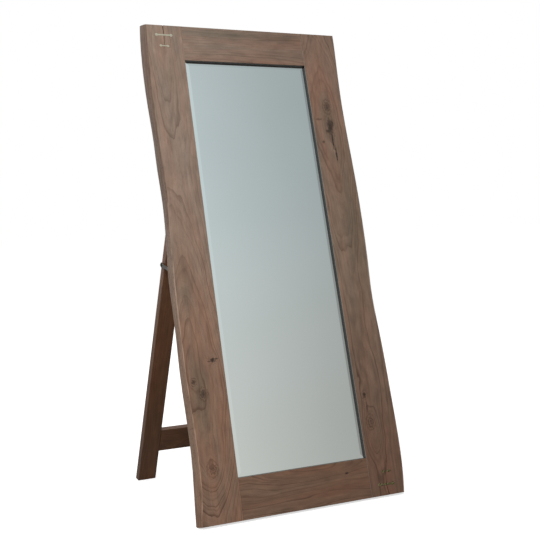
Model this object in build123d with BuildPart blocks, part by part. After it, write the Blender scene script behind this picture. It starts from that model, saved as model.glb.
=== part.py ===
from build123d import *
import os
from math import atan2, cos, degrees, hypot, radians, sin, tan

# Free-standing full-length mirror: a live-edged timber frame that leans back on a folding stand.
# X runs across the frame, +X to the right as seen from the front. The mirror faces -Y and leans
# towards +Y. Z is up and the floor is Z = 0. The origin is the middle of the narrow level flat that
# the frame's bottom back edge stands on. All lengths are millimetres, all angles degrees.

# Timber frame
frame_height = 1800.0
opening_width = 491.0
stile_width = 145.0
top_rail_height = 137.0
bottom_rail_height = 139.0
frame_thickness = 40.0
lean_angle = 16.7
floor_flat = 10.0
arris = 0.8
live_edge_round = 6.0
edge_bulge = 3.0

# The slabs are cut longer than the frame, and trimmed level at the top
trimming_allowance = 2.0

# Live edges, from the bottom up: share of the slab's length, distance inside the nominal width
left_front_edge = [
    (0.0, 1.5), (0.025, 4.5), (0.065, 11.5), (0.13, 12.0), (0.2, 11.0), (0.26, 4.0), (0.33, 3.0),
    (0.4, 1.5), (0.47, 3.0), (0.56, 8.0), (0.65, 13.5), (0.72, 8.5), (0.81, 4.0), (0.9, 6.0), (1.0, 10.5),
]
left_back_edge = [
    (0.0, -8.5), (0.035, -5.5), (0.08, -0.5), (0.145, 3.0), (0.2, 0.5), (0.3, -3.5), (0.375, -2.0),
    (0.457, -4.5), (0.515, 0.0), (0.63, 5.5), (0.69, 1.0), (0.75, -0.5), (0.82, -6.5), (0.9, -9.5),
    (1.0, -1.0),
]
right_front_edge = [
    (0.0, 14.0), (0.03, 6.5), (0.09, 0.0), (0.15, 0.0), (0.25, 2.5), (0.32, 6.0), (0.4, 12.5),
    (0.47, 6.5), (0.55, 1.5), (0.63, 0.5), (0.73, 4.5), (0.81, 7.5), (0.88, 5.5), (0.95, 0.0), (1.0, -2.0),
]
right_back_edge = [
    (0.0, 4.0), (0.03, -2.0), (0.1, -9.0), (0.18, -8.0), (0.27, -5.0), (0.36, 1.0), (0.42, 3.0),
    (0.5, -3.0), (0.6, -8.0), (0.7, -5.0), (0.8, -2.0), (0.88, -4.0), (0.95, -8.0), (1.0, -9.0),
]

# Mortise and tenon joints of the frame
tenon_length = 60.0
tenon_thickness = 12.0
tenon_shoulder = 20.0
tenon_middle_depth = 26.0
joint_clearance = 0.2

# Bevelled glass and its rebate
lip_thickness = 12.0
rebate_width = 11.0
glass_thickness = 5.0
glass_edge_gap = 2.0
bevel_width = 25.0
bevel_drop = 2.0
seat_clearance = 0.05
setting_block_length = 60.0
setting_block_inset = 60.0

# Backing board behind the glass
ledge_width = 9.0
backing_thickness = 5.0
backing_gap = 0.3
backing_edge_gap = 0.5
backing_screw_length = 16.0
side_screw_count = 6
end_screw_count = 3

# Drying cracks: how far each crack runs in from its end, its width at the mouth and its depth
crack_depth = 14.0
top_crack_width = 3.2
top_crack_x = -316.0
top_crack_sway = [(0.0, 0.0), (40.0, 0.5), (77.0, -0.9), (96.0, -2.4), (131.0, -1.8)]
bottom_crack_width = 2.6
bottom_crack_x = 316.0
bottom_crack_sway = [(0.0, 0.0), (39.0, -5.9), (78.0, -2.3), (117.0, 1.4), (144.0, 3.9)]

# Brass stitches: distance from the board's end, overall length, waist and ends; the sways shift a
# stitch from the mouth of its crack, and the tilts turn it
stitch_inlay = 3.0
stitch_proud = 1.2
stitch_round = 0.9
stitch_fit = 0.05
stitch_neck = 2.5
long_stitch_length = 67.0
long_stitch_waist = 6.5
long_stitch_end = 11.5
short_stitch_length = 37.0
short_stitch_waist = 4.5
short_stitch_end = 10.0
top_long_stitch_drop = 39.5
top_short_stitch_drop = 83.5
bottom_long_stitch_rise = 38.5
bottom_short_stitch_rise = 83.7
top_short_stitch_sway = -2.0
bottom_short_stitch_sway = 0.5
bottom_long_stitch_sway = -6.0
top_short_stitch_tilt = -2.0
bottom_short_stitch_tilt = -1.0
bottom_long_stitch_tilt = -2.0

# Folding stand
hinge_height = 1200.0
stand_opening = 27.5
foot_spread = 829.6
leg_width = 68.0
leg_thickness = 40.0
leg_round = 2.5
crossbar_rise = 114.0
crossbar_height = 85.0
crossbar_thickness = 30.0
crossbar_round = 2.0
crossbar_tenon_length = 30.0
crossbar_tenon_thickness = 12.0
crossbar_tenon_shoulder = 12.0

# Butt hinges
hinge_length = 50.0
hinge_ledge_gap = 2.3
leaf_reach = 30.0
leaf_thickness = 2.0
knuckle_radius = 3.3
knuckle_count = 5
knuckle_gap = 0.3
hinge_pin_radius = 1.9
pin_running_clearance = 0.06
pin_fixed_clearance = 0.02
pin_cap_radius = 2.9
pin_cap_length = 1.8
wood_clearance = 0.3
wide_screw_share = 0.36
wide_screw_reach = 0.42
narrow_screw_share = 0.14
narrow_screw_reach = 0.76

# Wood screws
hinge_screw_length = 22.0
hinge_screw_radius = 1.75
hinge_screw_head_radius = 3.5
small_screw_radius = 1.4
small_screw_head_radius = 2.8
pilot_clearance = 0.03
plate_hole_clearance = 0.25
slot_width = 0.9
slot_depth = 0.8

# Stays that hold the stand open
stay_post_drop = 309.0
stay_post_depth = 14.0
stay_pivot_drop = 335.0
stay_pivot_standoff = 11.0
stay_gap_to_leg = 3.0
stay_arm_thickness = 3.0
stay_arm_width = 12.0
stay_eye_radius = 7.5
stay_hook_radius = 9.5
stay_side_clearance = 0.3
hook_slot_clearance = 0.5
hook_mouth_angle = 54.0
stay_arm_chamfer = 0.4
stay_pivot_radius = 2.5
stay_pivot_head_radius = 4.6
stay_pivot_head_thickness = 1.6
head_round_share = 0.6
post_radius = 2.5
post_head_radius = 6.0
post_head_thickness = 2.5
post_collar_radius = 5.0
post_embed = 28.0
spot_face_radius = 6.5
spot_face_depth = 1.5
bracket_thickness = 2.0
bracket_length = 44.0
bracket_foot_width = 20.0
bracket_ear_radius = 8.0
bracket_screw_inset = 7.0
bracket_screw_length = 18.0

# Frame geometry that follows from the sizes above
half_opening = opening_width / 2
half_width = half_opening + stile_width
lean_sin = sin(radians(lean_angle))
lean_cos = cos(radians(lean_angle))
back_edge_y = floor_flat * cos(radians(2 * lean_angle)) / 2
back_edge_z = -floor_flat * lean_sin * lean_cos
frame_front = Plane(
    origin=(0, back_edge_y - frame_thickness * lean_cos, back_edge_z + frame_thickness * lean_sin),
    x_dir=(1, 0, 0),
    z_dir=(0, -lean_cos, lean_sin),
)
out_of_front = Axis(frame_front.origin, frame_front.z_dir)
top_z = frame_front.from_local_coords((0, frame_height, 0)).Z
level_top = Plane.XY.offset(top_z)
slab_length = frame_height + frame_thickness * tan(radians(lean_angle)) + trimming_allowance
opening_bottom = bottom_rail_height
opening_top = frame_height - top_rail_height
glass_cover = rebate_width - glass_edge_gap
glass_width = opening_width + 2 * glass_cover
glass_height = opening_top - opening_bottom + 2 * glass_cover
glass_middle = (opening_top + opening_bottom) / 2
glass_front_depth = lip_thickness - bevel_drop * (bevel_width - glass_cover) / bevel_width + seat_clearance
ledge_depth = glass_front_depth + glass_thickness + backing_gap
backing_width = opening_width + 2 * (rebate_width + ledge_width - backing_edge_gap)
backing_height = opening_top - opening_bottom + 2 * (rebate_width + ledge_width - backing_edge_gap)


def at_depth(depth):
    """Return the plane parallel to the frame's front face, a given depth behind it."""
    return frame_front.offset(-depth)


def facing_back(x, height, depth):
    """Return a plane at a point of the frame whose normal points out of the frame's back."""
    origin = frame_front.from_local_coords((x, height, -depth))
    return Plane(origin=origin, x_dir=(1, 0, 0), z_dir=-frame_front.z_dir)


def edge_points(edge, side, push_out):
    """Return the points of a live edge on one side of the frame, pushed out by a distance."""
    return [(side * (half_width - inset + push_out), share * slab_length) for share, inset in edge]


def slab_section(edge, side, depth, push_out):
    """Sketch a stile's outline at a depth: straight along the opening, live on the outside."""
    with BuildSketch(at_depth(depth)) as section:
        with BuildLine():
            live = Spline(*edge_points(edge, side, push_out))
            Polyline(live @ 1, (side * half_opening, slab_length), (side * half_opening, 0), live @ 0)
        make_face()
    return section.sketch


def middle_edge(front_edge, back_edge):
    """Return the live edge half way through the slab, at the front edge's heights."""
    points = []
    for share, inset in front_edge:
        lower = max((point for point in back_edge if point[0] <= share), key=lambda point: point[0])
        upper = min((point for point in back_edge if point[0] >= share), key=lambda point: point[0])
        span = upper[0] - lower[0]
        blend = (share - lower[0]) / span if span else 0.0
        back_inset = lower[1] + blend * (upper[1] - lower[1])
        points.append((share, (inset + back_inset) / 2))
    return points


def crack_outline(mouth_x, mouth_height, direction, sway, mouth_width):
    """Sketch a crack that narrows from its mouth at a board's end to a point."""
    reach = sway[-1][0]
    left, right = [], []
    for distance, shift in sway:
        half = mouth_width / 2 * (1 - distance / reach)
        height = mouth_height + direction * distance
        left.append((mouth_x + shift - half, height))
        right.append((mouth_x + shift + half, height))
    mouth = mouth_height - direction * (slab_length - frame_height)
    rim = [(left[0][0], mouth)] + left + right[-2::-1] + [(right[0][0], mouth)]
    with BuildSketch(frame_front) as outline:
        with BuildLine():
            Polyline(*rim, close=True)
        make_face()
    return outline.sketch


def stitch_outline(x, height, tilt, length, waist, end, grow, depth):
    """Sketch a stitch: two round ends joined by a narrower bar."""
    reach = (length - end) / 2
    with BuildSketch(at_depth(depth)) as outline:
        with Locations(Location((x, height, 0), (0, 0, tilt))):
            Rectangle(2 * reach, waist + 2 * grow)
            with Locations((-reach, 0), (reach, 0)):
                Circle(end / 2 + grow)
        fillet(outline.vertices(), radius=stitch_neck - grow)
    return outline.sketch


def wood_screws(seats, head_radius, shank_radius, length):
    """Return flat-headed slotted screws; each seat plane lies on a head and points out of it."""
    head_depth = head_radius - shank_radius
    with BuildPart() as screws:
        for seat in seats:
            with BuildSketch(seat):
                Circle(head_radius)
            with BuildSketch(seat.offset(-head_depth)):
                Circle(shank_radius)
            loft()
            with BuildSketch(seat.offset(-head_depth)):
                Circle(shank_radius)
            extrude(amount=-(length - head_depth))
            with BuildSketch(seat):
                Rectangle(2 * head_radius, slot_width)
            extrude(amount=-slot_depth, mode=Mode.SUBTRACT)
    return screws.part


def pilot_holes(seats, shank_radius, length):
    """Return the pilot holes that a set of screws leaves in the timber."""
    with BuildPart() as pilots:
        for seat in seats:
            with BuildSketch(seat):
                Circle(shank_radius + pilot_clearance)
            extrude(amount=-(length + plate_hole_clearance))
    return pilots.part


def countersink(seats, head_radius, shank_radius, thickness):
    """Cut countersunk holes for a set of screws out of the plate being built."""
    with Locations(*seats):
        CounterSinkHole(
            shank_radius + plate_hole_clearance, head_radius + pilot_clearance, depth=2 * thickness
        )


# Space for the glass and its backing, open to the back of the frame
with BuildPart() as glazing_space:
    for widening, depth in ((rebate_width, lip_thickness), (rebate_width + ledge_width, ledge_depth)):
        with BuildSketch(at_depth(depth)):
            with Locations((0, glass_middle)):
                Rectangle(opening_width + 2 * widening, opening_top - opening_bottom + 2 * widening)
        extrude(amount=-frame_thickness)

# Screws along the backing board's margin
margin_x = half_opening + rebate_width + ledge_width / 2
margin_top = opening_top + rebate_width + ledge_width / 2
margin_bottom = opening_bottom - rebate_width - ledge_width / 2
side_pitch = (margin_top - margin_bottom) / side_screw_count
end_pitch = 2 * margin_x / end_screw_count
backing_screw_depth = ledge_depth + backing_thickness
backing_seats = [
    facing_back(side * margin_x, margin_bottom + (row + 0.5) * side_pitch, backing_screw_depth)
    for side in (-1, 1)
    for row in range(side_screw_count)
] + [
    facing_back(-margin_x + (column + 0.5) * end_pitch, height, backing_screw_depth)
    for height in (margin_bottom, margin_top)
    for column in range(end_screw_count)
]
backing_screws = wood_screws(
    backing_seats, small_screw_head_radius, small_screw_radius, backing_screw_length
)
backing_pilots = pilot_holes(backing_seats, small_screw_radius, backing_screw_length)

# Stand geometry: the hinge axis, and the plane of the legs' front faces
hinge_standoff = knuckle_radius + wood_clearance
hinge_axis = frame_front.from_local_coords((0, hinge_height, -(frame_thickness + hinge_standoff)))
leg_lean = radians(stand_opening - lean_angle)
stand_normal = Vector(0, -cos(leg_lean), -sin(leg_lean))
stand_front = Plane(origin=hinge_axis - stand_normal * hinge_standoff, x_dir=(1, 0, 0), z_dir=stand_normal)
foot_reach = stand_front.origin.Z / cos(leg_lean)
hinge_x = -(half_opening + rebate_width + ledge_width + hinge_ledge_gap + hinge_length / 2)
splay = (foot_spread / 2 + hinge_x) / foot_reach
leg_span = leg_width * hypot(1, splay)
leg_overrun = leg_thickness


def leg_x(reach, inset):
    """Return the left leg's outer edge, moved in by an inset, at a distance below the hinge axis."""
    return hinge_x - splay * reach - leg_span / 2 + inset


# Left butt hinge, whose middle the leg's head is centred on
knuckle_pitch = (hinge_length + knuckle_gap) / knuckle_count
leaf_screw_places = [
    (side * share * hinge_length, -reach * leaf_reach)
    for share, reach in ((wide_screw_share, wide_screw_reach), (narrow_screw_share, narrow_screw_reach))
    for side in (-1, 1)
]
hinge_left_end = Plane(
    origin=(hinge_x - hinge_length / 2, hinge_axis.Y, hinge_axis.Z), x_dir=(0, 1, 0), z_dir=(1, 0, 0)
)
# Both plate planes have the hinge axis at their height zero and point from the wood to the axis
frame_plate = Plane(
    origin=frame_front.from_local_coords((hinge_x, hinge_height, -frame_thickness)),
    x_dir=(-1, 0, 0),
    z_dir=-frame_front.z_dir,
)
stand_plate = Plane(
    origin=stand_front.from_local_coords((hinge_x, 0, 0)), x_dir=(1, 0, 0), z_dir=stand_front.z_dir
)


def leaf_seats(plate):
    """Return the planes of the screw heads on a hinge leaf's exposed face."""
    return [
        Plane(
            origin=plate.from_local_coords((place_x, place_y, leaf_thickness)),
            x_dir=plate.x_dir,
            z_dir=plate.z_dir,
        )
        for place_x, place_y in leaf_screw_places
    ]


def hinge_leaf(plate, own_knuckles, bore_clearance):
    """Return one hinge leaf: a plate lying on the wood, with its own share of the knuckles."""
    with BuildPart() as leaf:
        with BuildSketch(plate):
            with Locations((0, -leaf_reach / 2)):
                Rectangle(hinge_length, leaf_reach)
        extrude(amount=leaf_thickness)
        for knuckle in range(knuckle_count):
            knuckle_start = hinge_left_end.offset(knuckle * knuckle_pitch)
            if knuckle in own_knuckles:
                with BuildSketch(knuckle_start):
                    Circle(knuckle_radius)
                extrude(amount=knuckle_pitch - knuckle_gap)
            else:
                with BuildSketch(knuckle_start.offset(-knuckle_gap)):
                    Circle(knuckle_radius + wood_clearance)
                extrude(amount=knuckle_pitch + knuckle_gap, mode=Mode.SUBTRACT)
        with BuildSketch(hinge_left_end.offset(-knuckle_gap)):
            Circle(hinge_pin_radius + bore_clearance)
        extrude(amount=hinge_length + 2 * knuckle_gap, mode=Mode.SUBTRACT)
        countersink(leaf_seats(plate), hinge_screw_head_radius, hinge_screw_radius, leaf_thickness)
    return leaf.part


frame_leaf_seats = leaf_seats(frame_plate)
stand_leaf_seats = leaf_seats(stand_plate)
hinge_screw_size = (hinge_screw_radius, hinge_screw_length)
left_frame_leaf = hinge_leaf(frame_plate, range(0, knuckle_count, 2), pin_fixed_clearance)
left_stand_leaf = hinge_leaf(stand_plate, range(1, knuckle_count, 2), pin_running_clearance)
left_frame_leaf_screws = wood_screws(frame_leaf_seats, hinge_screw_head_radius, *hinge_screw_size)
left_stand_leaf_screws = wood_screws(stand_leaf_seats, hinge_screw_head_radius, *hinge_screw_size)
frame_leaf_pilots = pilot_holes(frame_leaf_seats, *hinge_screw_size)
stand_leaf_pilots = pilot_holes(stand_leaf_seats, *hinge_screw_size)

with BuildPart() as left_hinge_pin:
    with BuildSketch(hinge_left_end):
        Circle(hinge_pin_radius)
    extrude(amount=hinge_length)
    for cap_plane, outward in ((hinge_left_end, -1), (hinge_left_end.offset(hinge_length), 1)):
        with BuildSketch(cap_plane):
            Circle(pin_cap_radius)
        extrude(amount=outward * pin_cap_length)
    cap_rims = left_hinge_pin.edges().filter_by(GeomType.CIRCLE).group_by(Axis.X)
    fillet(cap_rims[0] + cap_rims[-1], radius=pin_cap_length / 2)

# Left stay: its post on the leg, its pivot on the frame, and the arm between them
arm_inner_x = leg_x(stay_pivot_drop + stay_eye_radius, 0) - stay_gap_to_leg
arm_outer_x = arm_inner_x - stay_arm_thickness
ear_inner_x = arm_outer_x - stay_side_clearance
ear_outer_x = ear_inner_x - bracket_thickness
post_centre = stand_front.from_local_coords((0, -stay_post_drop, -stay_post_depth))
pivot_height = hinge_height - stay_pivot_drop
pivot_centre = frame_front.from_local_coords((0, pivot_height, -(frame_thickness + stay_pivot_standoff)))
arm_rise = atan2(post_centre.Z - pivot_centre.Z, post_centre.Y - pivot_centre.Y)
arm_length = hypot(post_centre.Z - pivot_centre.Z, post_centre.Y - pivot_centre.Y)
stay_swing = 90 - lean_angle - degrees(arm_rise)
# Planes across the stay: normals along +X, local x from the pivot to the post, local y upwards
post_plane = Plane(
    origin=(0, post_centre.Y, post_centre.Z), x_dir=(0, cos(arm_rise), sin(arm_rise)), z_dir=(1, 0, 0)
)
pivot_plane = Plane(origin=(0, pivot_centre.Y, pivot_centre.Z), x_dir=post_plane.x_dir, z_dir=(1, 0, 0))
pivot_on_frame = Plane(origin=pivot_plane.origin, x_dir=-frame_front.z_dir, z_dir=(1, 0, 0))


def across(plane, x):
    """Return a plane across the stay, moved to a place along X."""
    return plane.offset(x)


with BuildPart() as left_stay_arm:
    with BuildSketch(across(pivot_plane, arm_outer_x)):
        with Locations((arm_length / 2, 0)):
            Rectangle(arm_length, stay_arm_width)
        Circle(stay_eye_radius)
        with Locations((arm_length, 0)):
            Circle(stay_hook_radius)
        Circle(stay_pivot_radius + pin_running_clearance, mode=Mode.SUBTRACT)
        with Locations((arm_length, 0)):
            Circle(post_radius + hook_slot_clearance, mode=Mode.SUBTRACT)
            with Locations(Location((0, 0, 0), (0, 0, 180 + hook_mouth_angle))):
                with Locations((stay_hook_radius, 0)):
                    Rectangle(
                        2 * stay_hook_radius, 2 * (post_radius + hook_slot_clearance), mode=Mode.SUBTRACT
                    )
    extrude(amount=stay_arm_thickness)
    flat_rims = left_stay_arm.faces().filter_by(Axis.X)
    chamfer(flat_rims.edges().filter_by(GeomType.LINE), length=stay_arm_chamfer)

seat_x = leg_x(stay_post_drop, 0) + spot_face_depth
with BuildPart() as left_stay_post:
    with BuildSketch(across(post_plane, seat_x)):
        Circle(post_radius)
    extrude(amount=post_embed)
    with BuildSketch(across(post_plane, seat_x)):
        Circle(post_collar_radius)
    extrude(amount=-(seat_x - arm_inner_x - stay_side_clearance))
    with BuildSketch(across(post_plane, arm_inner_x + stay_side_clearance)):
        Circle(post_radius)
    extrude(amount=-(stay_arm_thickness + 2 * stay_side_clearance))
    with BuildSketch(across(post_plane, arm_outer_x - stay_side_clearance)):
        Circle(post_head_radius)
    extrude(amount=-post_head_thickness)
    head_rim = left_stay_post.edges().filter_by(GeomType.CIRCLE).group_by(Axis.X)[0]
    fillet(head_rim, radius=post_head_thickness * head_round_share)

with BuildPart() as left_stay_pivot:
    with BuildSketch(across(pivot_plane, arm_inner_x + stay_side_clearance)):
        Circle(stay_pivot_radius)
    pivot_span = arm_inner_x + stay_side_clearance - ear_outer_x
    extrude(amount=-pivot_span)
    for head_x, outward in ((arm_inner_x + stay_side_clearance, 1), (ear_outer_x, -1)):
        with BuildSketch(across(pivot_plane, head_x)):
            Circle(stay_pivot_head_radius)
        extrude(amount=outward * stay_pivot_head_thickness)
    head_rims = left_stay_pivot.edges().filter_by(GeomType.CIRCLE).group_by(Axis.X)
    fillet(head_rims[0] + head_rims[-1], radius=stay_pivot_head_thickness * head_round_share)

with BuildPart() as left_stay_bracket:
    foot_middle_x = ear_outer_x + bracket_foot_width / 2
    with BuildSketch(facing_back(foot_middle_x, pivot_height, frame_thickness)):
        Rectangle(bracket_foot_width, bracket_length)
    extrude(amount=bracket_thickness)
    with BuildSketch(across(pivot_on_frame, ear_outer_x)):
        Circle(bracket_ear_radius)
        with Locations((-stay_pivot_standoff / 2, 0)):
            Rectangle(stay_pivot_standoff, 2 * bracket_ear_radius)
        Circle(stay_pivot_radius + pin_fixed_clearance, mode=Mode.SUBTRACT)
    extrude(amount=bracket_thickness)
    bracket_seats = [
        facing_back(
            foot_middle_x,
            pivot_height + rise * (bracket_length / 2 - bracket_screw_inset),
            frame_thickness + bracket_thickness,
        )
        for rise in (-1, 1)
    ]
    countersink(bracket_seats, small_screw_head_radius, small_screw_radius, bracket_thickness)
left_bracket_screws = wood_screws(
    bracket_seats, small_screw_head_radius, small_screw_radius, bracket_screw_length
)
bracket_pilots = pilot_holes(bracket_seats, small_screw_radius, bracket_screw_length)

# Left leg, with mortise, hinge screw pilots and the seat of the stay post
leg_long_edge_count = 4
leg_bottom = foot_reach + leg_overrun
bar_low = foot_reach - crossbar_rise
bar_high = bar_low - crossbar_height


def bar_outline(plane, growth, reach_into_leg):
    """Sketch the crossbar or its tenons: ends parallel to the legs, pushed into them or flush."""
    with BuildSketch(plane) as outline:
        with BuildLine():
            low, high = bar_low + growth, bar_high - growth
            low_x = leg_x(low, leg_span - reach_into_leg)
            high_x = leg_x(high, leg_span - reach_into_leg)
            Polyline((low_x, -low), (-low_x, -low), (-high_x, -high), (high_x, -high), close=True)
        make_face()
    return outline.sketch


tenon_front = (crossbar_thickness - crossbar_tenon_thickness) / 2
mortise_outline = bar_outline(
    stand_front.offset(-tenon_front + joint_clearance),
    -crossbar_tenon_shoulder + joint_clearance,
    crossbar_tenon_length + joint_clearance,
)
with BuildPart() as crossbar_mortises:
    extrude(mortise_outline, amount=-(crossbar_tenon_thickness + 2 * joint_clearance))

with BuildPart() as left_leg:
    with BuildSketch(stand_front):
        with BuildLine():
            Polyline(
                (leg_x(0, 0), 0),
                (leg_x(0, leg_span), 0),
                (leg_x(leg_bottom, leg_span), -leg_bottom),
                (leg_x(leg_bottom, 0), -leg_bottom),
                close=True,
            )
        make_face()
    extrude(amount=-leg_thickness)
    fillet(left_leg.edges().sort_by(SortBy.LENGTH)[-leg_long_edge_count:], radius=leg_round)
    split(bisect_by=Plane.XY)
    add(crossbar_mortises.part, mode=Mode.SUBTRACT)
    add(stand_leaf_pilots, mode=Mode.SUBTRACT)
    with BuildSketch(across(post_plane, seat_x)):
        Circle(post_radius + pilot_clearance)
    extrude(amount=post_embed + plate_hole_clearance, mode=Mode.SUBTRACT)
    with BuildSketch(across(post_plane, seat_x)):
        Circle(spot_face_radius)
    extrude(amount=-spot_face_radius, mode=Mode.SUBTRACT)

with BuildPart() as stand_crossbar:
    extrude(bar_outline(stand_front, 0, 0), amount=-crossbar_thickness)
    bar_lines = stand_crossbar.edges().filter_by(Axis.X)
    fillet(bar_lines, radius=crossbar_round)
    tenon_outline = bar_outline(
        stand_front.offset(-tenon_front), -crossbar_tenon_shoulder, crossbar_tenon_length
    )
    extrude(tenon_outline, amount=-crossbar_tenon_thickness)

# Brass stitches and the recesses that they are let into
stitches = {
    "top_long_stitch": (
        top_crack_x, frame_height - top_long_stitch_drop, 0.0,
        long_stitch_length, long_stitch_waist, long_stitch_end,
    ),
    "top_short_stitch": (
        top_crack_x + top_short_stitch_sway, frame_height - top_short_stitch_drop, top_short_stitch_tilt,
        short_stitch_length, short_stitch_waist, short_stitch_end,
    ),
    "bottom_short_stitch": (
        bottom_crack_x + bottom_short_stitch_sway, bottom_short_stitch_rise, bottom_short_stitch_tilt,
        short_stitch_length, short_stitch_waist, short_stitch_end,
    ),
    "bottom_long_stitch": (
        bottom_crack_x + bottom_long_stitch_sway, bottom_long_stitch_rise, bottom_long_stitch_tilt,
        long_stitch_length, long_stitch_waist, long_stitch_end,
    ),
}
stitch_parts = {}
for stitch_name, stitch_size in stitches.items():
    with BuildPart() as stitch:
        extrude(
            stitch_outline(*stitch_size, grow=0.0, depth=stitch_inlay), amount=stitch_inlay + stitch_proud
        )
        top_face = stitch.faces().sort_by(out_of_front)[-1]
        fillet(top_face.edges(), radius=stitch_round)
    stitch_parts[stitch_name] = stitch.part
with BuildPart() as stitch_recesses:
    for stitch_size in stitches.values():
        extrude(
            stitch_outline(*stitch_size, grow=stitch_fit, depth=stitch_inlay),
            amount=stitch_inlay + stitch_proud,
        )

with BuildPart() as cracks:
    extrude(
        crack_outline(top_crack_x, frame_height, -1, top_crack_sway, top_crack_width), amount=-crack_depth
    )
    extrude(
        crack_outline(bottom_crack_x, 0, 1, bottom_crack_sway, bottom_crack_width), amount=-crack_depth
    )

# Rails, with tenons, and the mortises that the tenons need
rails = {
    "top_rail": (opening_top, slab_length),
    "bottom_rail": (0, opening_bottom),
}


def tenon_heights(rail_low, rail_high):
    """Return the lowest and highest point of a rail's tenons."""
    return rail_low + tenon_shoulder, min(rail_high, frame_height) - tenon_shoulder


def tenon_bar(low, high, length, thickness):
    """Return a rail's two tenons as one bar through the rail."""
    with BuildPart() as bar:
        with BuildSketch(at_depth(tenon_middle_depth - thickness / 2)):
            with Locations((0, (low + high) / 2)):
                Rectangle(opening_width + 2 * length, high - low)
        extrude(amount=-thickness)
    return bar.part


with BuildPart() as frame_mortises:
    for rail_low, rail_high in rails.values():
        low, high = tenon_heights(rail_low, rail_high)
        add(
            tenon_bar(
                low - joint_clearance,
                high + joint_clearance,
                tenon_length + joint_clearance,
                tenon_thickness + 2 * joint_clearance,
            )
        )

rail_parts = {}
for rail_name, (rail_low, rail_high) in rails.items():
    with BuildPart() as rail:
        with BuildSketch(frame_front):
            with Locations((0, (rail_low + rail_high) / 2)):
                Rectangle(opening_width, rail_high - rail_low)
        extrude(amount=-frame_thickness)
        split(bisect_by=level_top, keep=Keep.BOTTOM)
        split(bisect_by=Plane.XY)
        front_face = rail.faces().sort_by(out_of_front)[-1]
        chamfer(front_face.edges(), length=arris)
        add(tenon_bar(*tenon_heights(rail_low, rail_high), tenon_length, tenon_thickness))
        add(glazing_space.part, mode=Mode.SUBTRACT)
        add(backing_pilots, mode=Mode.SUBTRACT)
    rail_parts[rail_name] = rail.part

# Stiles: slabs with one live edge
stile_sides = {
    "left_stile": (-1, left_front_edge, left_back_edge),
    "right_stile": (1, right_front_edge, right_back_edge),
}
with BuildPart() as hardware_pilots:
    for hinge_pilots in (frame_leaf_pilots, bracket_pilots):
        add(hinge_pilots)
        mirror(hinge_pilots, about=Plane.YZ)
    add(backing_pilots)

stile_parts = {}
for stile_name, (side, front_edge, back_edge) in stile_sides.items():
    with BuildPart() as stile:
        loft([
            slab_section(front_edge, side, 0, 0),
            slab_section(middle_edge(front_edge, back_edge), side, frame_thickness / 2, edge_bulge),
            slab_section(back_edge, side, frame_thickness, 0),
        ])
        split(bisect_by=level_top, keep=Keep.BOTTOM)
        split(bisect_by=Plane.XY)
        front_face = stile.faces().sort_by(out_of_front)[-1]
        live_line = front_face.edges().sort_by(Axis.X)[0 if side < 0 else -1]
        fillet(live_line, radius=live_edge_round)
        front_face = stile.faces().sort_by(out_of_front)[-1]
        opening_line = front_face.edges().sort_by(Axis.X)[-1 if side < 0 else 0]
        chamfer(opening_line, length=arris)
        for cutter in (glazing_space, frame_mortises, cracks, stitch_recesses, hardware_pilots):
            add(cutter.part, mode=Mode.SUBTRACT)
    stile_parts[stile_name] = stile.part

# Bevelled glass, its setting blocks and the backing board
with BuildPart() as mirror_glass:
    with BuildSketch(at_depth(glass_front_depth)):
        with Locations((0, glass_middle)):
            Rectangle(glass_width, glass_height)
    extrude(amount=-glass_thickness)
    glass_face = mirror_glass.faces().sort_by(out_of_front)[-1]
    chamfer(glass_face.edges(), length=bevel_drop, length2=bevel_width)

with BuildPart() as setting_blocks:
    block_x = glass_width / 2 - setting_block_inset - setting_block_length / 2
    with BuildSketch(at_depth(glass_front_depth + bevel_drop)):
        with Locations((-block_x, opening_bottom - rebate_width), (block_x, opening_bottom - rebate_width)):
            Rectangle(setting_block_length, glass_edge_gap, align=(Align.CENTER, Align.MIN))
    extrude(amount=-(glass_thickness - bevel_drop))

with BuildPart() as backing_board:
    with BuildSketch(at_depth(ledge_depth)):
        with Locations((0, glass_middle)):
            Rectangle(backing_width, backing_height)
    extrude(amount=-backing_thickness)
    countersink(backing_seats, small_screw_head_radius, small_screw_radius, backing_thickness)

# Every piece under its own name; the hinge and stay pieces come in left and right hands
pieces = {
    **stile_parts,
    **rail_parts,
    "mirror_glass": mirror_glass.part,
    "setting_blocks": setting_blocks.part,
    "backing_board": backing_board.part,
    "backing_screws": backing_screws,
    **stitch_parts,
    "stand_crossbar": stand_crossbar.part,
}
left_hand_pieces = {
    "leg": left_leg.part,
    "frame_leaf": left_frame_leaf,
    "frame_leaf_screws": left_frame_leaf_screws,
    "stand_leaf": left_stand_leaf,
    "stand_leaf_screws": left_stand_leaf_screws,
    "hinge_pin": left_hinge_pin.part,
    "stay_bracket": left_stay_bracket.part,
    "stay_bracket_screws": left_bracket_screws,
    "stay_pivot": left_stay_pivot.part,
    "stay_arm": left_stay_arm.part,
    "stay_post": left_stay_post.part,
}
for hand_name, left_piece in left_hand_pieces.items():
    with BuildPart() as right_piece:
        mirror(left_piece, about=Plane.YZ)
    pieces[f"left_{hand_name}"] = left_piece
    pieces[f"right_{hand_name}"] = right_piece.part

os.makedirs("parts", exist_ok=True)
for piece_name, piece in pieces.items():
    piece.label = piece_name
    export_step(piece, f"parts/{piece_name}.step")
print(f"{len(pieces)} pieces; hinge axis Y {hinge_axis.Y:.2f} Z {hinge_axis.Z:.2f}")
print(f"stay pivot Y {pivot_centre.Y:.2f} Z {pivot_centre.Z:.2f}")
print(f"stay arm {arm_length:.2f}, swing {stay_swing:.2f}")
print(f"stay plane X {arm_inner_x - stay_arm_thickness / 2:.2f}")
print(f"foot front edge Y {stand_front.from_local_coords((0, -foot_reach, 0)).Y:.2f}; top Z {top_z:.2f}")
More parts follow.
